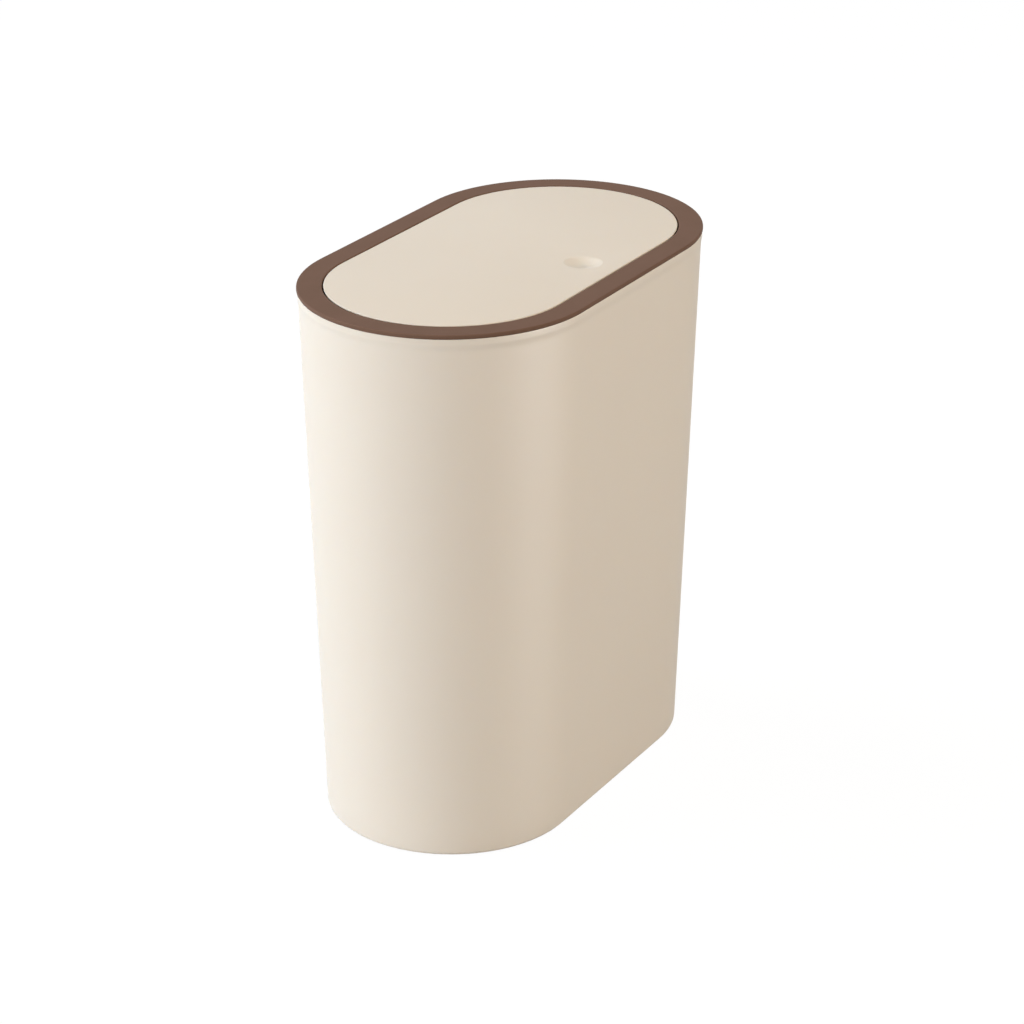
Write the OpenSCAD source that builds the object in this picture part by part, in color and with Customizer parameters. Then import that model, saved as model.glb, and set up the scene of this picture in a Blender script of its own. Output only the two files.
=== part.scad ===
// Push top countertop bin: a tapered oval bucket, a lift-off rim ring and a sprung lid that pops up
// when the dimple at its front is pressed.
// Millimetres, +Z up, origin at the centre of the footprint, on the surface the bin stands on.
// X runs along the long sides. -Y is the front, where the lid is pressed, and +Y carries the hinge.

/* [Bin] */
// Height from the surface to the top of the lid
bin_h = 240; // [225:1:255]
// Distance between the centres of the two round ends
end_spacing = 92; // [90:1:96]
// Radius of the round ends at the foot of the bucket
foot_r = 55.4; // [55:0.1:56.5]
// Radius of the round ends at the top of the bucket's wall
body_top_r = 62.5; // [62.4:0.1:62.6]
// Thickness of the bucket's wall
wall_t = 2; // [1.9:0.1:2]
// Height of the slightly proud band under the bucket's rim
band_h = 3.4; // [3:0.1:4]
// How far that band stands out of the wall
band_proud = 0.3; // [0.2:0.05:0.45]

/* [Rim ring] */
// Radius of the ring's round ends
ring_r = 63.1; // [63:0.1:63.3]
// Thickness of the ring's top plate
ring_t = 1.9; // [1.8:0.1:1.9]
// Rounding of the ring's outer top edge
ring_edge_r = 0.5; // [0.4:0.1:0.8]
// How far the throat wall hangs below the top face
throat_depth = 18; // [18:1:20]

/* [Lid] */
// Radius of the lid's round ends
lid_r = 51.9; // [51.7:0.1:52]
// Width of the groove between the lid and the ring
lid_gap = 0.6; // [0.6:0.1:0.9]
// Depth of the lid, from its top face to its flat underside
lid_depth = 7.6; // [7.4:0.1:7.6]
// Lean of the lid's edge, in degrees, so that it swings clear of the ring
lid_lean = 25; // [25:1:27]
// Thickness of the lid's top plate
lid_t = 2; // [1.8:0.1:2.2]
// Diameter of the fingertip dimple
dimple_d = 17; // [15:0.5:20]
// Depth of the dimple
dimple_depth = 2; // [1.5:0.1:2.4]
// Centre of the dimple on the top face
dimple_pos = [4.4, -35.4]; // [-40:0.1:10]

/* [Hinge] */
// Distance of the hinge axis behind the centre line
axis_y = 57.5; // [57.4:0.1:57.6]
// Depth of the hinge axis below the ring's plate
axis_drop = 2.9; // [2.8:0.1:3]
// Diameter of the hinge pin
pin_d = 2.5; // [2.4:0.1:2.5]
// Width of each hinge arm
arm_w = 8; // [8:0.5:8.5]
// Distance of each arm's middle from the bin's middle
arm_x = 30; // [30:0.1:30.2]

/* [Latch] */
// Distance of the latch in front of the centre line
latch_y = 45; // [44.8:0.1:45.2]
// Width of the latch case
case_w = 18; // [18:0.5:18.5]
// Travel of the slider below its latched place
press_travel = 2.7; // [2.4:0.1:2.7]

/* [Hidden] */
$fn = 64;

cream = [0.88, 0.83, 0.75];
brown = [0.46, 0.37, 0.31];
natural_white = [0.93, 0.92, 0.89];
soft_grey = [0.55, 0.54, 0.52];
steel = [0.72, 0.73, 0.75];

eps = 0.01;             // overlap that makes a cut or a join certain
half_len = end_spacing / 2;

// Bucket levels
under_z = 0.5;          // underside of the bucket's foot rim
recess_z = 2.5;         // raised middle of the underside
recess_r = 49.5;
floor_top = 4.7;
foot_fillet = 2;
floor_fillet = 5;
rim_z = bin_h - ring_t; // where the ring rests on the bucket
band_bottom = rim_z - band_h;
cove_h = 3;             // height over which the band swells out
pad_d = 14;
pad_pos = [64, 28];

// Ring levels and radii
hole_r = lid_r + lid_gap;
hole_edge_r = 0.5;      // rounding that the lid's back edge swings past
throat_r = 52.9;        // inside of the throat wall under the plate
throat_t = 1.6;
throat_z = bin_h - throat_depth;
plug_out_r = 60.1;
plug_t = 1.8;
plug_z = rim_z - 12;
plug_lead = 0.8;
hinge_bay = 41.5;       // half width of the bay that has no plug skirt
shelf_t = 2;
shelf_top = throat_z + shelf_t;
shelf_half_w = 30;
shelf_edge_y = -33.5;
shelf_corner = 4;

// Lid levels
lid_under = bin_h - lid_depth;
liner_t = 1.6;
liner_top = lid_under + liner_t;
lid_edge_r = 0.45;
lid_wall_t = 1.9;
liner_gap = 0.35;
boss_r = 3.2;
pilot_r = 1.25;         // hole that a screw cuts its thread in
shank_r = 1.2;
clear_r = 1.4;          // hole that a screw passes
head_r = 2.4;
head_t = 1.5;
screw_len = 5.2;
liner_screws_at = [[-72, -20], [-72, 20], [72, -20], [72, 20], [0, 34], [0, -18]];
arm_screw_y = [39, 44];
striker_screw_x = 11.5;
dimple_pad_t = 1.8;

// Hinge
axis_z = rim_z - axis_drop;
knuckle_r = 2.6;
knuckle_bore_r = pin_d / 2 + 0.05;
lug_bore_r = pin_d / 2 + 0.02;
hook_in_r = 7;
hook_out_r = 10.5;
strut_back = 1;
arm_base_t = 1.6;
arm_base_front = 36.5;
arm_slot = 0.6;         // clearance of the ring's slots on each side of an arm
inner_lug = [12, 15];
outer_lug = [34.4, 38];
lug_front = 54.3;
lug_below = 3.2;
pin_half_len = 40.5;
clip_t = 0.6;
clip_r = 2.5;

// Latch levels
case_wall = 1.5;
case_front = -latch_y - 6;
case_back = -latch_y + 6;
cover_t = 1.8;
case_floor = 195.4;
case_floor_t = 2.5;
flange_half_w = 15;
flange_t = 2;
latch_screw_x = 12;
slide_gap = 0.3;
slider_z = 198.5;
slider_top = 208;
prong_top = 223.3;
slider_half_w = case_w / 2 - case_wall - slide_gap;
track_z = [198.9, 207.5];
track_depth = 1.5;
cam_tip_z = 204;
cam_wire_d = 0.9;
bumper_pos = [24, -45];
bumper_r = 4;
bumper_h = lid_under - press_travel - 0.3 - shelf_top; // just clear of the lid when it is pressed

// Springs
spring_sides = 6;
spring_rings = 8;       // rings in each turn
torsion_wire_d = 0.9;
torsion_r = 1.9;
torsion_turns = 6;
torsion_x = [16.1, 24.9];
torsion_leg = 7;
torsion_hook = 3.4;
torsion_tail_r = 3;
latch_wire_d = 0.6;
latch_spring_r = 2.3;
latch_spring_turns = 6.5;
latch_spring_z = [case_floor + 0.35, slider_z + 5.65];
spring_pocket_r = 2.85;

// ---- outlines, each a list of (radius, height) points ----

// Radius of the bucket's outer wall at a height
function wall_r(z) = foot_r + (body_top_r - foot_r) * (z - under_z) / (rim_z - under_z);

// Points along a quarter or any other arc, both ends included
function arc(centre, r, from, to, steps) =
    [for (i = [0:steps]) let (a = from + (to - from) * i / steps) centre + r * [cos(a), sin(a)]];

// Radius of the lid's leaning edge at a height
function lid_edge(z) = lid_r - (bin_h - lid_edge_r - z) * tan(lid_lean);

bucket_outline = concat(
    [[0, recess_z], [recess_r, recess_z], [recess_r + 1, under_z]],
    arc([wall_r(under_z + foot_fillet) - foot_fillet, under_z + foot_fillet], foot_fillet, -90, 0, 6),
    [for (u = [0:0.2:1]) let (z = band_bottom + cove_h * (u - 0.5))
     [wall_r(z) + band_proud * u * u * (3 - 2 * u), z]],
    [[body_top_r + band_proud, rim_z - 0.4],
     [body_top_r + band_proud - 0.4, rim_z],
     [body_top_r - wall_t, rim_z]],
    arc([wall_r(floor_top + floor_fillet) - wall_t - floor_fillet, floor_top + floor_fillet],
        floor_fillet, 0, -90, 5),
    [[0, floor_top]]);

ring_outline = concat(
    [[throat_r, throat_z], [throat_r + throat_t, throat_z], [throat_r + throat_t, rim_z],
     [plug_out_r - plug_t, rim_z], [plug_out_r - plug_t, plug_z], [plug_out_r - plug_lead / 2, plug_z],
     [plug_out_r, plug_z + plug_lead], [plug_out_r, rim_z], [ring_r - 0.4, rim_z], [ring_r, rim_z + 0.7]],
    arc([ring_r - ring_edge_r, bin_h - ring_edge_r], ring_edge_r, 0, 90, 4),
    arc([hole_r + hole_edge_r, bin_h - hole_edge_r], hole_edge_r, 90, 180, 4),
    [[hole_r, rim_z], [throat_r, rim_z]]);

lid_outline = concat(
    [[0, bin_h]],
    arc([lid_r - lid_edge_r, bin_h - lid_edge_r], lid_edge_r, 90, 0, 3),
    [[lid_edge(lid_under), lid_under], [lid_edge(lid_under) - lid_wall_t, lid_under],
     [lid_edge(bin_h - lid_t) - lid_wall_t, bin_h - lid_t], [0, bin_h - lid_t]]);

liner_r = lid_edge(lid_under) - lid_wall_t - liner_gap;
liner_outline = [[0, lid_under], [liner_r, lid_under],
                 [liner_r + liner_t * tan(lid_lean), liner_top], [0, liner_top]];

// The dimple is a dish whose edge runs out level with the top face
dimple_outline = concat(
    [for (i = [0:10]) let (u = i / 10) [u * dimple_d / 2, bin_h - dimple_depth * pow(1 - u * u, 1.5)]],
    [[dimple_d / 2, bin_h + 1], [0, bin_h + 1]]);

// ---- shared shapes ----

// Sweeps a (radius, height) outline round both ends and along both sides of the oval
module sweep_oval() {
    for (turn = [0, 180])
        rotate([0, 0, turn]) {
            translate([half_len, 0, 0]) rotate([0, 0, -90]) rotate_extrude(angle = 180) children();
            translate([-half_len, 0, 0]) rotate([90, 0, 90]) linear_extrude(2 * half_len) children();
        }
}

// A box from its low corner to its high corner
module box(low, high) {
    translate(low) cube(high - low);
}

// A cylinder along X, from x0 to x1, round the hinge axis
module along_axis(r, x0, x1) {
    translate([x0, axis_y, axis_z]) rotate([0, 90, 0]) cylinder(h = x1 - x0, r = r);
}

// A shape drawn in (y, z) and drawn out along X from x0 to x1
module across(x0, x1) {
    translate([x0, 0, 0]) rotate([90, 0, 90]) linear_extrude(x1 - x0) children();
}

// A shape drawn in (x, z) and drawn out along Y from y0 to y1
module through(y0, y1) {
    translate([0, y1, 0]) rotate([90, 0, 0]) linear_extrude(y1 - y0) children();
}

// A pan head screw driven upwards, its head's bearing face at z = 0
module pan_screw() {
    translate([0, 0, -head_t]) cylinder(h = 0.5, r1 = head_r - 0.5, r2 = head_r);
    translate([0, 0, 0.5 - head_t - eps]) cylinder(h = head_t - 0.5 + eps, r = head_r);
    translate([0, 0, -eps]) cylinder(h = screw_len + eps, r = shank_r);
}

// A countersunk screw driven upwards, its flat face at z = 0
module sunk_screw(len) {
    cylinder(h = 1.2, r1 = head_r, r2 = shank_r);
    translate([0, 0, 1.2 - eps]) cylinder(h = len - 1.2 + eps, r = shank_r);
}

// The hole that a countersunk screw sits in, through a plate of thickness t
module sunk_hole(t) {
    translate([0, 0, -eps]) cylinder(h = 1.2 + eps, r1 = head_r + 0.2, r2 = clear_r);
    cylinder(h = t + eps, r = clear_r);
}

// ---- tubes that follow a path, for the springs and the cam pin ----

function unit(v) = v / norm(v);
function tangents(path) =
    [for (i = [0:len(path) - 1]) unit(path[min(i + 1, len(path) - 1)] - path[max(i - 1, 0)])];
function carried(normals, along) =
    len(normals) == len(along) ? normals
    : let (t = along[len(normals)], last = normals[len(normals) - 1])
      carried(concat(normals, [unit(last - (last * t) * t)]), along);

// One closed tube of radius r along the path; start is a direction that is not along its first run
module tube(path, r, start) {
    along = tangents(path);
    normals = carried([unit(start - (start * along[0]) * along[0])], along);
    last = len(path) - 1;
    points = [for (i = [0:last]) let (side = cross(along[i], normals[i]))
              for (j = [0:spring_sides - 1]) let (a = 360 * j / spring_sides)
              path[i] + r * (cos(a) * normals[i] + sin(a) * side)];
    walls = [for (i = [0:last - 1]) for (j = [0:spring_sides - 1])
             let (a = i * spring_sides + j, b = i * spring_sides + (j + 1) % spring_sides)
             each [[a, a + spring_sides, b + spring_sides], [a, b + spring_sides, b]]];
    ends = [[for (j = [0:spring_sides - 1]) j],
            [for (j = [spring_sides - 1:-1:0]) last * spring_sides + j]];
    polyhedron(points = points, faces = concat(walls, ends));
}

// Least distance between turns of a wound path, less the wire: points under half a turn apart are skipped
function least_gap(path, wire_d) =
    min([for (i = [0:len(path) - 1]) for (j = [i + spring_rings - 2:1:len(path) - 1])
         norm(path[i] - path[j])]) - wire_d;

// Point on the coil round the hinge pin, at angle a from +Y towards +Z
function on_pin(x, r, a) = [x, axis_y + r * cos(a), axis_z + r * sin(a)];

// The tail sits in the inner lug, then come the turns, a leg down the back of the arm and a hook behind it
torsion_start = -165;
torsion_sweep = 360 * torsion_turns + torsion_start + 360;
torsion_steps = round(torsion_sweep / 360 * spring_rings);
torsion_path = concat(
    [on_pin(inner_lug[0] + 0.6, torsion_tail_r, -135), on_pin(inner_lug[1] - 0.4, torsion_tail_r, -135),
     on_pin(inner_lug[1] + 0.4, torsion_tail_r - 0.3, -140)],
    [for (i = [0:torsion_steps]) let (u = i / torsion_steps)
     on_pin(torsion_x[0] + (torsion_x[1] - torsion_x[0]) * u, torsion_r, torsion_start - torsion_sweep * u)],
    [on_pin(torsion_x[1], torsion_r, 0) - [0, 0, torsion_leg - 1],
     on_pin(torsion_x[1] + 0.3, torsion_r, 0) - [0, 0, torsion_leg - 0.3],
     on_pin(torsion_x[1] + 1, torsion_r, 0) - [0, 0, torsion_leg],
     on_pin(torsion_x[1] + torsion_hook, torsion_r, 0) - [0, 0, torsion_leg]]);

latch_steps = latch_spring_turns * spring_rings;
latch_path = [for (i = [0:latch_steps]) let (u = i / latch_steps, a = 360 * latch_spring_turns * u)
              [latch_spring_r * cos(a), latch_spring_r * sin(a) - latch_y,
               latch_spring_z[0] + (latch_spring_z[1] - latch_spring_z[0]) * u]];

echo(torsion_spring_gap = least_gap([for (i = [3:3 + torsion_steps]) torsion_path[i]], torsion_wire_d));
echo(latch_spring_gap = least_gap(latch_path, latch_wire_d));

// ---- bucket ----

module bucket() {
    color(cream) sweep_oval() polygon(bucket_outline);
}

// Four anti-slip pads under the recessed underside
module feet() {
    color(soft_grey)
        for (x = [-1, 1]) for (y = [-1, 1])
            translate([x * pad_pos[0], y * pad_pos[1], 0]) {
                cylinder(h = 0.6, r1 = pad_d / 2 - 0.4, r2 = pad_d / 2);
                translate([0, 0, 0.6 - eps]) cylinder(h = recess_z - 0.6 + eps, r = pad_d / 2);
            }
}

// ---- rim ring and what is fixed to it ----

// Two lugs on each side of the middle carry the hinge pin
module hinge_lugs() {
    for (side = [-1, 1]) for (lug = [inner_lug, outer_lug])
        box([min(side * lug[0], side * lug[1]), lug_front, axis_z - lug_below],
            [max(side * lug[0], side * lug[1]), plug_out_r, rim_z + eps]);
}

// The shelf that the latch and the bumpers stand on, with bosses for the latch screws
module latch_shelf() {
    translate([0, 0, throat_z]) linear_extrude(shelf_t)
        polygon([[-shelf_half_w, -throat_r - eps], [shelf_half_w, -throat_r - eps],
                 [shelf_half_w, shelf_edge_y - shelf_corner], [shelf_half_w - shelf_corner, shelf_edge_y],
                 [shelf_corner - shelf_half_w, shelf_edge_y], [-shelf_half_w, shelf_edge_y - shelf_corner]]);
    for (side = [-1, 1])
        translate([side * latch_screw_x, -latch_y, throat_z - 3.5]) cylinder(h = 3.5 + eps, r = 2.6);
}

module rim_ring() {
    color(brown) difference() {
        union() {
            difference() {
                sweep_oval() polygon(ring_outline);
                // bay behind the throat, where the hinge sits in place of the plug skirt
                box([-hinge_bay, throat_r + throat_t, plug_z - 1], [hinge_bay, ring_r, rim_z]);
                // slots that the two arms swing in
                for (side = [-1, 1])
                    box([side * arm_x - arm_w / 2 - arm_slot, throat_r - 1, throat_z - 1],
                        [side * arm_x + arm_w / 2 + arm_slot, ring_r, rim_z]);
            }
            hinge_lugs();
            latch_shelf();
        }
        along_axis(lug_bore_r, -outer_lug[1] - 1, outer_lug[1] + 1);
        // holes for the tails of the torsion springs
        for (side = [-1, 1])
            translate([side * (inner_lug[0] + inner_lug[1] + 0.2) / 2, 0, 0])
                translate(on_pin(0, torsion_tail_r, -135)) rotate([0, 90, 0])
                    cylinder(h = inner_lug[1] - inner_lug[0] - 0.2,
                             r = torsion_wire_d / 2 + 0.1, center = true);
        // window for the latch case, and holes for its screws and for the bumpers' stems
        box([-case_w / 2 - 0.2, case_front - 0.2, throat_z - 1],
            [case_w / 2 + 0.2, case_back + cover_t + 0.2, shelf_top + 1]);
        for (side = [-1, 1]) {
            translate([side * latch_screw_x, -latch_y, throat_z - 4]) cylinder(h = 8, r = pilot_r);
            translate([side * bumper_pos[0], bumper_pos[1], throat_z - 1]) cylinder(h = 4, r = 2);
        }
    }
}

module hinge_pin() {
    color(steel) along_axis(pin_d / 2, -pin_half_len, pin_half_len);
}

// Push-on clips at the two ends of the pin
module pin_clips() {
    color(steel)
        for (x0 = [outer_lug[1] + 0.2, -outer_lug[1] - 0.2 - clip_t])
            difference() {
                along_axis(clip_r, x0, x0 + clip_t);
                along_axis(pin_d / 2, x0 - 1, x0 + clip_t + 1);
            }
}

module torsion_spring_right() {
    color(steel) tube(torsion_path, torsion_wire_d / 2, [0, 0, 1]);
}

module torsion_spring_left() {
    color(steel) mirror([1, 0, 0]) tube(torsion_path, torsion_wire_d / 2, [0, 0, 1]);
}

// Open-fronted case with a flange that lies on the shelf; the cover closes the side that faces the bin
module latch_case() {
    floor_bottom = case_floor - case_floor_t;
    inner = case_w / 2 - case_wall;
    color(natural_white) difference() {
        union() {
            box([-case_w / 2, case_front, floor_bottom], [case_w / 2, case_back, shelf_top + eps]);
            box([-flange_half_w, case_front, shelf_top],
                [flange_half_w, case_back + cover_t, shelf_top + flange_t]);
        }
        box([-inner, case_front + case_wall, case_floor], [inner, case_back + 1, shelf_top - eps]);
        box([-inner, case_front + case_wall, case_floor], [inner, case_back, shelf_top + flange_t + 1]);
        for (side = [-1, 1])
            translate([side * latch_screw_x, -latch_y, shelf_top + flange_t]) mirror([0, 0, 1])
                sunk_hole(flange_t + 1);
        // hole that the cam pin turns in
        translate([0, case_back - 3.5, case_floor - case_floor_t / 2]) rotate([-90, 0, 0])
            cylinder(h = 4, r = cam_wire_d / 2 + 0.08);
    }
}

module latch_cover() {
    color(natural_white) difference() {
        box([-case_w / 2, case_back, case_floor - case_floor_t],
            [case_w / 2, case_back + cover_t, shelf_top]);
        // channel for the cam pin
        box([-0.65, case_back - 1, case_floor - case_floor_t / 2 - 0.6],
            [0.65, case_back + 1.05, cam_tip_z + 0.6]);
    }
}

// Slider with two prongs that stand either side of the striker and a cam track cut in its back
module latch_slider() {
    back = case_back - slide_gap;
    color(brown) difference() {
        union() {
            box([-slider_half_w, case_front + case_wall + slide_gap, slider_z],
                [slider_half_w, back, slider_top]);
            for (side = [0, 1]) mirror([side, 0, 0])
                through(-latch_y - 3.2, -latch_y + 3.2)
                    polygon([[slider_half_w, slider_top - 1], [slider_half_w, prong_top - 1],
                             [slider_half_w - 1, prong_top], [4.2, prong_top], [3.3, prong_top - 1],
                             [3.3, prong_top - 2.2], [4.4, prong_top - 3], [4.4, slider_top - 1]]);
        }
        translate([0, -latch_y, slider_z - 1]) cylinder(h = 7, r = spring_pocket_r);
        difference() {
            box([-3, back - track_depth, track_z[0]], [5, back + 1, track_z[1]]);
            // heart that the cam pin goes round
            through(back - track_depth - 1, back + 2)
                polygon([[2.5, 201.2], [3.8, 203.6], [3.8, 205.6], [2.6, 204.8], [1.4, 205.6], [1.4, 203.2]]);
        }
    }
}

module latch_spring() {
    color(steel) tube(latch_path, latch_wire_d / 2, [0, 0, 1]);
}

// Bent wire whose tip follows the slider's track and whose other end turns in the case
module cam_pin() {
    wire_y = case_back + 0.5;
    foot_z = case_floor - case_floor_t / 2;
    tip_y = case_back - slide_gap - track_depth + 0.3;
    path = [[0, tip_y, cam_tip_z], [0, wire_y - 0.7, cam_tip_z], [0, wire_y - 0.2, cam_tip_z - 0.2],
            [0, wire_y, cam_tip_z - 0.7], [0, wire_y, foot_z + 0.7], [0, wire_y - 0.2, foot_z + 0.2],
            [0, wire_y - 0.7, foot_z], [0, case_back - 3, foot_z]];
    color(steel) tube(path, cam_wire_d / 2, [1, 0, 0]);
}

module latch_screws() {
    color(steel)
        for (side = [-1, 1])
            translate([side * latch_screw_x, -latch_y, shelf_top + flange_t]) mirror([0, 0, 1]) sunk_screw(7);
}

// Two soft stops for the lid's underside, each held in the shelf by its stem
module bumpers() {
    color(soft_grey)
        for (side = [-1, 1])
            translate([side * bumper_pos[0], bumper_pos[1], shelf_top]) {
                cylinder(h = bumper_h - 0.8, r = bumper_r);
                translate([0, 0, bumper_h - 0.8 - eps])
                    cylinder(h = 0.8 + eps, r1 = bumper_r, r2 = bumper_r - 0.8);
                translate([0, 0, -shelf_t - 0.5]) cylinder(h = shelf_t + 0.5 + eps, r = 1.95);
                translate([0, 0, -shelf_t - 1.6]) cylinder(h = 1.55, r1 = 1.6, r2 = 2.7);
            }
}

// ---- lid ----

// Where screws go up into the lid's bosses
boss_places = concat(liner_screws_at,
                     [for (side = [-1, 1]) for (y = arm_screw_y) [side * arm_x, y]],
                     [for (side = [-1, 1]) [side * striker_screw_x, -latch_y]]);

module lid_panel() {
    color(cream) difference() {
        union() {
            sweep_oval() polygon(lid_outline);
            for (place = boss_places)
                translate([place[0], place[1], liner_top])
                    cylinder(h = bin_h - lid_t - liner_top + eps, r = boss_r);
            translate([dimple_pos[0], dimple_pos[1], bin_h - lid_t - dimple_pad_t])
                cylinder(h = dimple_pad_t + eps, r = dimple_d / 2 - 0.5);
        }
        translate([dimple_pos[0], dimple_pos[1], 0]) rotate_extrude() polygon(dimple_outline);
        for (place = boss_places)
            translate([place[0], place[1], liner_top - 1]) cylinder(h = 4.6, r = pilot_r);
    }
}

module lid_liner() {
    color(natural_white) difference() {
        sweep_oval() polygon(liner_outline);
        for (place = boss_places)
            translate([place[0], place[1], lid_under - 1]) cylinder(h = liner_t + 2, r = clear_r);
    }
}

module liner_screws() {
    color(steel)
        for (place = liner_screws_at)
            translate([place[0], place[1], lid_under]) pan_screw();
}

// Side view of a hinge arm: base plate under the lid, hook round the ring's edge, knuckle on the pin
module arm_side() {
    low = lid_under - axis_z;
    difference() {
        union() {
            circle(r = knuckle_r);
            translate([-knuckle_r, -hook_out_r + 0.8]) square([knuckle_r + strut_back, hook_out_r - 0.8]);
            difference() {
                circle(r = hook_out_r);
                circle(r = hook_in_r);
                translate([-20, low]) square([40, 20]);
                translate([strut_back, -20]) square([20, 40]);
            }
            translate([arm_base_front - axis_y, low - arm_base_t])
                square([axis_y - hook_in_r - 0.6 - arm_base_front, arm_base_t]);
        }
        circle(r = knuckle_bore_r);
    }
}

module hinge_arm(side) {
    color(brown) difference() {
        across(side * arm_x - arm_w / 2, side * arm_x + arm_w / 2)
            translate([axis_y, axis_z]) arm_side();
        for (y = arm_screw_y)
            translate([side * arm_x, y, lid_under - arm_base_t - 1])
                cylinder(h = arm_base_t + 2, r = clear_r);
    }
}

module hinge_arm_left() {
    hinge_arm(-1);
}

module hinge_arm_right() {
    hinge_arm(1);
}

module arm_screws() {
    color(steel)
        for (side = [-1, 1]) for (y = arm_screw_y)
            translate([side * arm_x, y, lid_under - arm_base_t]) pan_screw();
}

// Barbed tongue that the latch grips, on a plate under the lid's front
module striker() {
    base_z = lid_under - 2;
    color(natural_white) difference() {
        union() {
            box([-striker_screw_x - 3.5, -latch_y - 3.6, base_z],
                [striker_screw_x + 3.5, -latch_y + 3.6, lid_under]);
            through(-latch_y - 2.5, -latch_y + 2.5)
                polygon([[-1.6, base_z + eps], [-1.6, 219], [-3, 219], [-3, 217.4], [-1.2, 215.5],
                         [1.2, 215.5], [3, 217.4], [3, 219], [1.6, 219], [1.6, base_z + eps]]);
        }
        for (side = [-1, 1])
            translate([side * striker_screw_x, -latch_y, base_z]) sunk_hole(3);
    }
}

module striker_screws() {
    color(steel)
        for (side = [-1, 1])
            translate([side * striker_screw_x, -latch_y, lid_under - 2]) sunk_screw(7);
}

bucket();
feet();
rim_ring();
hinge_pin();
pin_clips();
torsion_spring_left();
torsion_spring_right();
latch_case();
latch_cover();
latch_slider();
latch_spring();
cam_pin();
latch_screws();
bumpers();
lid_panel();
lid_liner();
liner_screws();
hinge_arm_left();
hinge_arm_right();
arm_screws();
striker();
striker_screws();
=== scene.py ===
# Push top countertop bin: shells, finishes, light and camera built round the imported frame.
import math

import bmesh
import bpy
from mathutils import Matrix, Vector
from mathutils.geometry import delaunay_2d_cdt


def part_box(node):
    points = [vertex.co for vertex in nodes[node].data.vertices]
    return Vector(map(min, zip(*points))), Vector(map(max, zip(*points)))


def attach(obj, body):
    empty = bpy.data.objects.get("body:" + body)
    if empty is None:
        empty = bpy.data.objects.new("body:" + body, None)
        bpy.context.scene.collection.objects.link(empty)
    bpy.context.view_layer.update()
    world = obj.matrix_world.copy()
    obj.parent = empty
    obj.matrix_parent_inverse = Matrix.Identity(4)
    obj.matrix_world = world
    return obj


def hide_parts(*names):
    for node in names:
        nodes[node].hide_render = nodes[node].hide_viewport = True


mm = 0.001  # the scene is in metres

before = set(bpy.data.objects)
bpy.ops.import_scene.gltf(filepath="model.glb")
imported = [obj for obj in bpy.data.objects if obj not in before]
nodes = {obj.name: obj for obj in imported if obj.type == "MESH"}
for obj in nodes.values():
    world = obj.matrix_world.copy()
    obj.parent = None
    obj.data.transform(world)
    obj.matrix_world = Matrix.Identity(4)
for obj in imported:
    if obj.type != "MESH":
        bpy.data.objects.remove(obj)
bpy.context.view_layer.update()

cameraView = {
    "azimuth": -59.797,  # degrees; 0 looks along +Y
    "elevation": 23.469,
    "aim": (0.43, -3.12, 120),  # millimetres
    "distance": 1375.91,
    "lens": 110.02,  # on a 36 mm sensor
}


def addCamera(spec):
    a, e = math.radians(spec["azimuth"]), math.radians(spec["elevation"])
    back = Vector((math.sin(a) * math.cos(e), -math.cos(a) * math.cos(e), math.sin(e)))
    data = bpy.data.cameras.new("camera")
    data.sensor_width = 36
    data.lens = spec["lens"]
    data.clip_start, data.clip_end = 0.05, 20
    cam = bpy.data.objects.new("camera", data)
    bpy.context.scene.collection.objects.link(cam)
    cam.location = (Vector(spec["aim"]) + back * spec["distance"]) * mm
    cam.rotation_mode = "QUATERNION"
    cam.rotation_quaternion = (-back).to_track_quat("-Z", "Y")
    bpy.context.scene.camera = cam


addCamera(cameraView)
print("camera placed")


def linear(hexColour):
    parts = [int(hexColour[i:i + 2], 16) / 255 for i in (1, 3, 5)]
    return [p / 12.92 if p < 0.04045 else ((p + 0.055) / 1.055) ** 2.4 for p in parts] + [1]


def addNode(tree, kind, links=None, **settings):
    # settings are the node's own properties, or socket values where the name is a socket's
    node = tree.nodes.new("ShaderNode" + kind)
    for name, value in settings.items():
        if hasattr(node, name):
            setattr(node, name, value)
        else:
            node.inputs[name.replace("_", " ")].default_value = value
    for socket, source in (links or {}).items():
        tree.links.new(source, node.inputs[socket])
    return node


def startMaterial(name):
    material = bpy.data.materials.new(name)
    material.use_nodes = True
    tree = material.node_tree
    tree.nodes.clear()
    shader = addNode(tree, "BsdfPrincipled")
    output = addNode(tree, "OutputMaterial", {"Surface": shader.outputs["BSDF"]})
    output.location = (300, 0)
    return material, tree, shader


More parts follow.
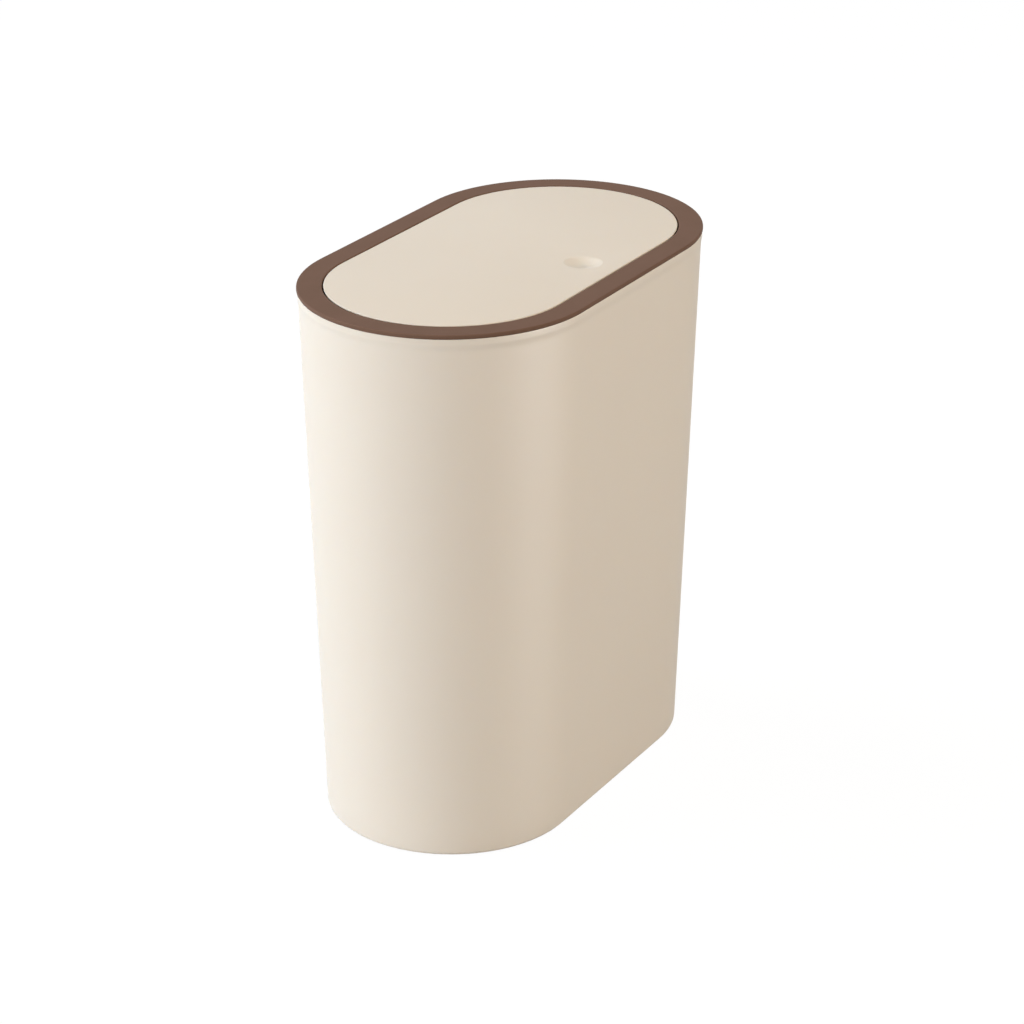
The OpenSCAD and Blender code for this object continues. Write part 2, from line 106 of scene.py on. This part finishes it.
# Moulded polypropylene: an even satin skin from a spark-eroded tool, a little waxy where light
# enters it, with faint slow changes of tone and gloss where the melt cooled.
def mouldedPolypropylene(name, colour, shade, gloss, glow, shine=0.5, patch=60):
    # gloss is the roughness, glow the share of light that enters, patch the size in mm of the slow changes
    material, tree, shader = startMaterial(name)
    place = addNode(tree, "TexCoord")
    flow = addNode(tree, "TexNoise", {"Vector": place.outputs["Object"]}, Scale=1 / (patch * mm),
                   Detail=2.0, Roughness=0.45)
    tone = addNode(tree, "Mix", {"Factor": flow.outputs["Fac"]}, data_type="RGBA")
    tone.inputs["A"].default_value = linear(colour)
    tone.inputs["B"].default_value = linear(shade)
    tree.links.new(tone.outputs["Result"], shader.inputs["Base Color"])
    spread = 0.03  # how far the roughness drifts either way
    rough = addNode(tree, "MapRange", {"Value": flow.outputs["Fac"]},
                    To_Min=gloss - spread, To_Max=gloss + spread)
    tree.links.new(rough.outputs["Result"], shader.inputs["Roughness"])
    grain = 0.5  # millimetres; the tool's own is about 0.1 and is drawn coarser so that it shows at all
    skin = addNode(tree, "TexNoise", {"Vector": place.outputs["Object"]}, Scale=1 / (grain * mm),
                   Detail=3.0, Roughness=0.6)
    bump = addNode(tree, "Bump", {"Height": skin.outputs["Fac"]}, Strength=0.12, Distance=0.02 * mm)
    tree.links.new(bump.outputs["Normal"], shader.inputs["Normal"])
    shader.inputs["IOR"].default_value = 1.49
    shader.inputs["Specular IOR Level"].default_value = shine
    shader.inputs["Subsurface Weight"].default_value = glow
    shader.inputs["Subsurface Radius"].default_value = (1.6 * mm, 1.1 * mm, 0.7 * mm)
    shader.inputs["Subsurface Scale"].default_value = 1.0
    return material


# Moulded acetal: harder and slicker than polypropylene, with a dense white body.
def mouldedAcetal(name, colour):
    material, tree, shader = startMaterial(name)
    place = addNode(tree, "TexCoord")
    flow = 4  # millimetres between the faint marks that the melt leaves
    speck = addNode(tree, "TexNoise", {"Vector": place.outputs["Object"]}, Scale=1 / (flow * mm), Detail=3.0)
    rough = addNode(tree, "MapRange", {"Value": speck.outputs["Fac"]}, To_Min=0.28, To_Max=0.36)
    tree.links.new(rough.outputs["Result"], shader.inputs["Roughness"])
    bump = addNode(tree, "Bump", {"Height": speck.outputs["Fac"]}, Strength=0.1, Distance=0.02 * mm)
    tree.links.new(bump.outputs["Normal"], shader.inputs["Normal"])
    shader.inputs["Base Color"].default_value = linear(colour)
    shader.inputs["IOR"].default_value = 1.48
    return material


# Silicone rubber: soft, dull, with a dry dusty bloom.
def mouldedSilicone(name, colour, bloom):
    material, tree, shader = startMaterial(name)
    place = addNode(tree, "TexCoord")
    speck = 1.5  # millimetres
    dust = addNode(tree, "TexNoise", {"Vector": place.outputs["Object"]}, Scale=1 / (speck * mm), Detail=5.0)
    tone = addNode(tree, "Mix", {"Factor": dust.outputs["Fac"]}, data_type="RGBA")
    tone.inputs["A"].default_value = linear(colour)
    tone.inputs["B"].default_value = linear(bloom)
    tree.links.new(tone.outputs["Result"], shader.inputs["Base Color"])
    bump = addNode(tree, "Bump", {"Height": dust.outputs["Fac"]}, Strength=0.2, Distance=0.05 * mm)
    tree.links.new(bump.outputs["Normal"], shader.inputs["Normal"])
    shader.inputs["Roughness"].default_value = 0.75
    shader.inputs["IOR"].default_value = 1.41
    return material


# Drawn or plated steel: metal colour, with fine scratches or crystals in its gloss.
def bareSteel(name, colour, grain, roughLow, roughHigh, stretch=1.0):
    # grain is the size of a mark in mm, and stretch is how many times longer it is along X
    material, tree, shader = startMaterial(name)
    place = addNode(tree, "TexCoord")
    along = addNode(tree, "Mapping", {"Vector": place.outputs["Object"]})
    along.inputs["Scale"].default_value = (1 / stretch, 1, 1)
    marks = addNode(tree, "TexNoise", {"Vector": along.outputs["Vector"]}, Scale=1 / (grain * mm), Detail=4.0)
    rough = addNode(tree, "MapRange", {"Value": marks.outputs["Fac"]}, To_Min=roughLow, To_Max=roughHigh)
    tree.links.new(rough.outputs["Result"], shader.inputs["Roughness"])
    bump = addNode(tree, "Bump", {"Height": marks.outputs["Fac"]}, Strength=0.15, Distance=0.02 * mm)
    tree.links.new(bump.outputs["Normal"], shader.inputs["Normal"])
    shader.inputs["Base Color"].default_value = linear(colour)
    shader.inputs["Metallic"].default_value = 1.0
    return material


creamShell = mouldedPolypropylene("moulded polypropylene cream", "#E2D8C9", "#DFD4C5", 0.53, 0.15)
brownShell = mouldedPolypropylene("moulded polypropylene brown", "#725749", "#6A5244", 0.62, 0.0, 0.1, 16)
whiteShell = mouldedPolypropylene("moulded polypropylene natural", "#E6E1D7", "#E2DCD1", 0.4, 0.2)
acetal = mouldedAcetal("acetal white", "#ECE9E2")
silicone = mouldedSilicone("silicone rubber grey", "#6F6B65", "#7C7872")
springSteel = bareSteel("drawn spring steel", "#BDBFC2", 0.6, 0.22, 0.38, 8.0)
zincSteel = bareSteel("zinc plated steel", "#C9CCD0", 1.2, 0.25, 0.4)
print("finishes made")


def bent(centre, radius, start, end, steps):
    # points along an arc in the (radius, height) plane; start and end are in degrees
    turns = [math.radians(start + (end - start) * i / steps) for i in range(steps + 1)]
    return [(centre[0] + radius * math.cos(t), centre[1] + radius * math.sin(t)) for t in turns]


def ovalStations(halfLength, endSteps=72):
    # (end centre, cos, sin) for each section round the oval, half a turn at each end
    stations = []
    for centre, start in ((halfLength, -90), (-halfLength, 90)):
        for i in range(endSteps + 1):
            t = math.radians(start + 180 * i / endSteps)
            stations.append((centre, math.cos(t), math.sin(t)))
    return stations


def ovalPoint(station, radius, z):
    centre, c, s = station
    return (centre + radius * c, radius * s, z)


def sweptShell(bm, outline, stations):
    # carries an outline of (radius, height) points round the oval; returns one list of vertices per station
    sections = []
    for station in stations:
        places = [ovalPoint(station, r, z) for r, z in outline]
        sections.append([bm.verts.new([v * mm for v in place]) for place in places])
    for k, section in enumerate(sections):
        other = sections[(k + 1) % len(sections)]
        for i in range(len(outline) - 1):
            bm.faces.new((section[i], other[i], other[i + 1], section[i + 1]))
    return sections


def finishMesh(name, bm, material, sharpAngle=32):
    bmesh.ops.recalc_face_normals(bm, faces=bm.faces)
    for edge in bm.edges:
        edge.smooth = len(edge.link_faces) == 2 and edge.calc_face_angle() < math.radians(sharpAngle)
    for face in bm.faces:
        face.smooth = True
    mesh = bpy.data.meshes.new(name)
    bm.to_mesh(mesh)
    bm.free()
    piece = bpy.data.objects.new(name, mesh)
    bpy.context.scene.collection.objects.link(piece)
    mesh.materials.append(material)
    return piece


bucketShell = {
    "wall": 2.0,
    "footRadius": 55.4,
    "footRound": 2.0,
    "underside": 0.5,
    "recess": 2.0,  # how far the middle of the underside is raised
    "recessRadius": 49.5,
    "recessRound": 0.6,
    "treadInset": 1.3,  # how far the foot's inner edge stands outside the recess
    "treadRound": 0.5,
    "floor": 2.2,
    "floorRound": 5.0,
    "bandProud": 0.3,
    "bandLean": 0.02,  # how far the band leans back between its fullest line and the rim
    "coveTop": 2.2,  # below the rim, where the band is fully proud
    "coveBottom": 6.2,  # below the rim, where it has run out into the wall
    "coveSteps": 12,
    "rimRound": 0.3,
    "mouthRound": 0.4,
    "rows": (12, 60, 120, 180),  # heights of the wall's mesh rows above the foot
    "rowUnderCove": 2,
    "rowInMouth": 20,  # below the rim
}


def buildBucket(spec):
    low, high = (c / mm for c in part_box("bucket"))
    topRadius = high.y - spec["bandProud"]
    halfLength = high.x - high.y
    foot, rim = spec["underside"], high.z

    def wallRadius(z):
        return spec["footRadius"] + (topRadius - spec["footRadius"]) * (z - foot) / (rim - foot)

    wall, rows = spec["wall"], [foot + row for row in spec["rows"]]
    coveLow, coveHigh = rim - spec["coveBottom"], rim - spec["coveTop"]

    # the underside, then the foot
    ceiling, corner, tread = foot + spec["recess"], spec["recessRound"], spec["treadRound"]
    outline = bent((spec["recessRadius"] - corner, ceiling - corner), corner, 90, 30, 3)
    outline += bent((spec["recessRadius"] + spec["treadInset"], foot + tread), tread, 210, 270, 3)
    toe = foot + spec["footRound"]
    outline += bent((wallRadius(toe) - spec["footRound"], toe), spec["footRound"], -90, -2, 10)
    outline += [(wallRadius(z), z) for z in rows + [coveLow - spec["rowUnderCove"]]]

    # the band swells out of the wall along a soft curve, steepest near its top, then leans back a hair
    shoulder = topRadius + spec["bandProud"]
    swell = shoulder - wallRadius(coveHigh)
    for step in range(spec["coveSteps"] + 1):
        share = step / spec["coveSteps"]
        z = coveLow + (coveHigh - coveLow) * share
        outline += [(wallRadius(z) + swell * share ** 3 * (4 - 3 * share), z)]
    lip, edge, mouth = shoulder - spec["bandLean"], spec["rimRound"], spec["mouthRound"]
    outline += [(lip, rim - mouth)]
    outline += bent((lip - edge, rim - edge), edge, 0, 90, 4)
    outline += bent((topRadius - wall + mouth, rim - mouth), mouth, 90, 180, 3)

    # down the inside to the floor
    outline += [(wallRadius(z) - wall, z) for z in [rim - spec["rowInMouth"]] + rows[:0:-1]]
    bowl = ceiling + spec["floor"] + spec["floorRound"]
    outline += bent((wallRadius(bowl) - wall - spec["floorRound"], bowl), spec["floorRound"], 0, -90, 10)
    bm = bmesh.new()
    sections = sweptShell(bm, outline, ovalStations(halfLength))
    bm.faces.new([section[0] for section in sections])
    bm.faces.new([section[-1] for section in sections])
    return finishMesh("bucket_shell", bm, creamShell)


bucket = buildBucket(bucketShell)
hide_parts("bucket")
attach(bucket, "bin")
print("bucket built")

lidShell = {
    "topThickness": 2.0,
    "wall": 1.9,
    "lean": 25,  # degrees
    "edgeRound": 0.45,
    "outerBevel": (0.25, 0.3),  # in and up, at the wall's lower edge
    "innerBevel": (0.2, 0.2),
    "dimple": (4.4, -35.4),
    "dimpleRadius": 8.5,
    "dimpleDepth": 2.0,
}


def dishHeight(share, depth):
    # a dish whose edge runs out level with the top face; share is 0 at the middle and 1 at the edge
    return -depth * (1 - share * share) ** 1.5


def dimpledFace(bm, outer, centre, radius, top, depth, turns=96, rings=22):
    # fills the flat between the outer loop and the dimple, then the dish itself
    rim = []
    for i in range(turns):
        t = 2 * math.pi * i / turns
        rim.append(Vector((centre[0] + radius * math.cos(t), centre[1] + radius * math.sin(t))))
    flat = [Vector((v.co.x / mm, v.co.y / mm)) for v in outer]
    loops = [list(range(len(flat))), list(range(len(flat), len(flat) + turns))]
    edges = [(loop[i], loop[(i + 1) % len(loop)]) for loop in loops for i in range(len(loop))]
    points, _, faces, origins, _, _ = delaunay_2d_cdt(flat + rim, edges, [], 1, 1e-5)
    known = {}
    for index, source in enumerate(origins):
        if source and source[0] < len(flat):
            known[index] = outer[source[0]]
        else:
            known[index] = bm.verts.new((points[index].x * mm, points[index].y * mm, top * mm))
    for face in faces:
        middle = sum((points[i] for i in face), Vector((0, 0))) / len(face)
        if (middle - Vector(centre)).length > radius * math.cos(math.pi / turns):
            bm.faces.new([known[i] for i in face])
    ring = []
    for i in range(turns):
        index = next(k for k, source in enumerate(origins) if source and source[0] == len(flat) + i)
        ring.append(known[index])
    for step in range(1, rings):
        share = math.cos(0.5 * math.pi * step / rings)  # rings are closest at the edge, where it bends
        lower = []
        for i in range(turns):
            t = 2 * math.pi * i / turns
            lower.append(bm.verts.new((
                (centre[0] + radius * share * math.cos(t)) * mm,
                (centre[1] + radius * share * math.sin(t)) * mm,
                (top + dishHeight(share, depth)) * mm)))
        for i in range(turns):
            j = (i + 1) % turns
            bm.faces.new((ring[i], ring[j], lower[j], lower[i]))
        ring = lower
    pole = bm.verts.new((centre[0] * mm, centre[1] * mm, (top - depth) * mm))
    for i in range(turns):
        bm.faces.new((ring[i], ring[(i + 1) % turns], pole))


def buildLid(spec):
    low, high = (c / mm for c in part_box("lid_panel"))
    radius, halfLength = high.y, high.x - high.y
    top, under = high.z, low.z
    lean = math.tan(math.radians(spec["lean"]))

    def edgeRadius(z):
        return radius - (top - spec["edgeRound"] - z) * lean

    edge, wall = spec["edgeRound"], spec["wall"]
    outline = bent((radius - edge, top - edge), edge, 90, -18, 7)
    foot, inner = edgeRadius(under), edgeRadius(under) - wall
    inward, upward = spec["outerBevel"]
    outline += [(edgeRadius(under + upward), under + upward), (foot - inward, under)]
    inward, upward = spec["innerBevel"]
    outline += [(inner + inward, under), (inner, under + upward)]
    ceiling = top - spec["topThickness"]
    outline += [(edgeRadius(ceiling) - wall, ceiling)]
    bm = bmesh.new()
    sections = sweptShell(bm, outline, ovalStations(halfLength))
    rim = [section[0] for section in sections]
    dimpledFace(bm, rim, spec["dimple"], spec["dimpleRadius"], top, spec["dimpleDepth"])
    bm.faces.new([section[-1] for section in sections])
    return finishMesh("lid_shell", bm, creamShell)


lid = buildLid(lidShell)
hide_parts("lid_panel")
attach(lid, "lid")
print("lid built")

finishOf = {
    "rim_ring": brownShell,
    "hinge_arm_left": brownShell,
    "hinge_arm_right": brownShell,
    "latch_slider": brownShell,
    "lid_liner": whiteShell,
    "latch_case": acetal,
    "latch_cover": acetal,
    "striker": acetal,
    "feet": silicone,
    "bumpers": silicone,
    "hinge_pin": springSteel,
    "torsion_spring_left": springSteel,
    "torsion_spring_right": springSteel,
    "latch_spring": springSteel,
    "cam_pin": springSteel,
    "pin_clips": zincSteel,
    "liner_screws": zincSteel,
    "arm_screws": zincSteel,
    "latch_screws": zincSteel,
    "striker_screws": zincSteel,
}
for name, material in finishOf.items():
    nodes[name].data.materials.clear()
    nodes[name].data.materials.append(material)
print("frame parts finished")

studio = {
    "floorSize": 6.0,  # metres
    "floorDrop": 0.05,  # millimetres under the pads, so that the two faces don't flicker
    "floorColour": (0.45, 0.45, 0.45),  # a low bounce, so that faces turned down stay darker
    "floorWhite": 0.88,  # share of the floor's own white, against what the lamps leave on it
    "floorGlow": 1.095,  # lifts that share just enough for the mixture to reach white
    "worldColour": (0.18, 0.18, 0.18),
}


def seenDirectly(tree):
    # 1 for rays from the camera, and for those that a glossy or clear surface sends on
    path = addNode(tree, "LightPath")
    seen = path.outputs["Is Camera Ray"]
    for ray in ("Is Glossy Ray", "Is Transmission Ray"):
        seen = addNode(tree, "Math", {0: seen, 1: path.outputs[ray]}, operation="MAXIMUM").outputs[0]
    return seen


def addStudio(spec):
    world = bpy.data.worlds.new("white studio")
    bpy.context.scene.world = world
    world.use_nodes = True
    tree = world.node_tree
    tree.nodes.clear()
    light = addNode(tree, "Background", Color=(*spec["worldColour"], 1), Strength=1.0)
    white = addNode(tree, "Background", Color=(1, 1, 1, 1), Strength=1.0)
    mix = addNode(tree, "MixShader", {0: seenDirectly(tree), 1: light.outputs[0], 2: white.outputs[0]})
    addNode(tree, "OutputWorld", {"Surface": mix.outputs[0]})

    material, tree, shader = startMaterial("white floor")
    shader.inputs["Base Color"].default_value = (*spec["floorColour"], 1)
    shader.inputs["Roughness"].default_value = 0.9
    shader.inputs["Specular IOR Level"].default_value = 0.0
    glow = addNode(tree, "Emission", Strength=spec["floorGlow"])
    share = addNode(tree, "Math", {0: seenDirectly(tree)}, operation="MULTIPLY")
    share.inputs[1].default_value = spec["floorWhite"]
    blend = addNode(tree, "MixShader", {0: share.outputs[0], 1: shader.outputs[0], 2: glow.outputs[0]})
    output = next(n for n in tree.nodes if n.bl_idname == "ShaderNodeOutputMaterial")
    tree.links.new(blend.outputs[0], output.inputs["Surface"])
    half, drop = spec["floorSize"] / 2, spec["floorDrop"] * mm
    corners = [(x, y, -drop) for x, y in ((-half, -half), (half, -half), (half, half), (-half, half))]
    mesh = bpy.data.meshes.new("floor")
    mesh.from_pydata(corners, [], [(0, 1, 2, 3)])
    mesh.materials.append(material)
    floor = bpy.data.objects.new("floor", mesh)
    bpy.context.scene.collection.objects.link(floor)


lampAim = 0.13  # height of the point that the lamps face, in metres

# turns are from the camera's own side, in degrees, with the image's left negative; sizes and distances
# are in metres. The low broad lamps leave out gloss, so that the lid doesn't glare from the far side.
lamps = {
    "key": {"turn": -75, "rise": 9, "distance": 3.2, "size": (2, 1.2),
            "power": 85.2, "colour": (0.86, 0.92, 1), "gloss": False},
    "right": {"turn": 74, "rise": 50, "distance": 3, "size": (1.4, 1.4),
              "power": 34.3, "colour": (1, 0.83, 0.61)},
    "back": {"turn": -112, "rise": 48, "distance": 3.2, "size": (2, 2),
             "power": 49.8, "colour": (0.84, 0.91, 1)},
    "front": {"turn": 12, "rise": 17, "distance": 4, "size": (2.4, 2.4),
              "power": 54.2, "colour": (1, 0.93, 0.86), "gloss": False},
    # a small low lamp that shows only as the faint upright sheen on the bucket's satin wall
    "strip": {"turn": 67, "rise": 7, "distance": 3.6, "size": (0.8, 0.8),
              "power": 333, "colour": (0.89, 0.94, 1), "diffuse": False, "lights": bucket},
}


def addLamp(name, spec):
    data = bpy.data.lights.new(name, "AREA")
    data.shape = "ELLIPSE"
    data.size, data.size_y = spec["size"]
    data.energy = spec["power"]
    data.color = spec["colour"]
    lamp = bpy.data.objects.new(name, data)
    bpy.context.scene.collection.objects.link(lamp)
    a, e = math.radians(cameraView["azimuth"] + spec["turn"]), math.radians(spec["rise"])
    back = Vector((math.sin(a) * math.cos(e), -math.cos(a) * math.cos(e), math.sin(e)))
    lamp.location = Vector((0, 0, lampAim)) + back * spec["distance"]
    lamp.rotation_mode = "QUATERNION"
    lamp.rotation_quaternion = (-back).to_track_quat("-Z", "Y")
    lamp.visible_camera = False
    lamp.visible_diffuse = spec.get("diffuse", True)
    lamp.visible_glossy = spec.get("gloss", True)
    if "lights" in spec:
        lit = bpy.data.collections.new("lit by " + name)
        lit.objects.link(spec["lights"])
        lamp.light_linking.receiver_collection = lit


addStudio(studio)
for name, spec in lamps.items():
    addLamp(name, spec)
print("studio lit")

bpy.context.scene.view_settings.view_transform = "Standard"
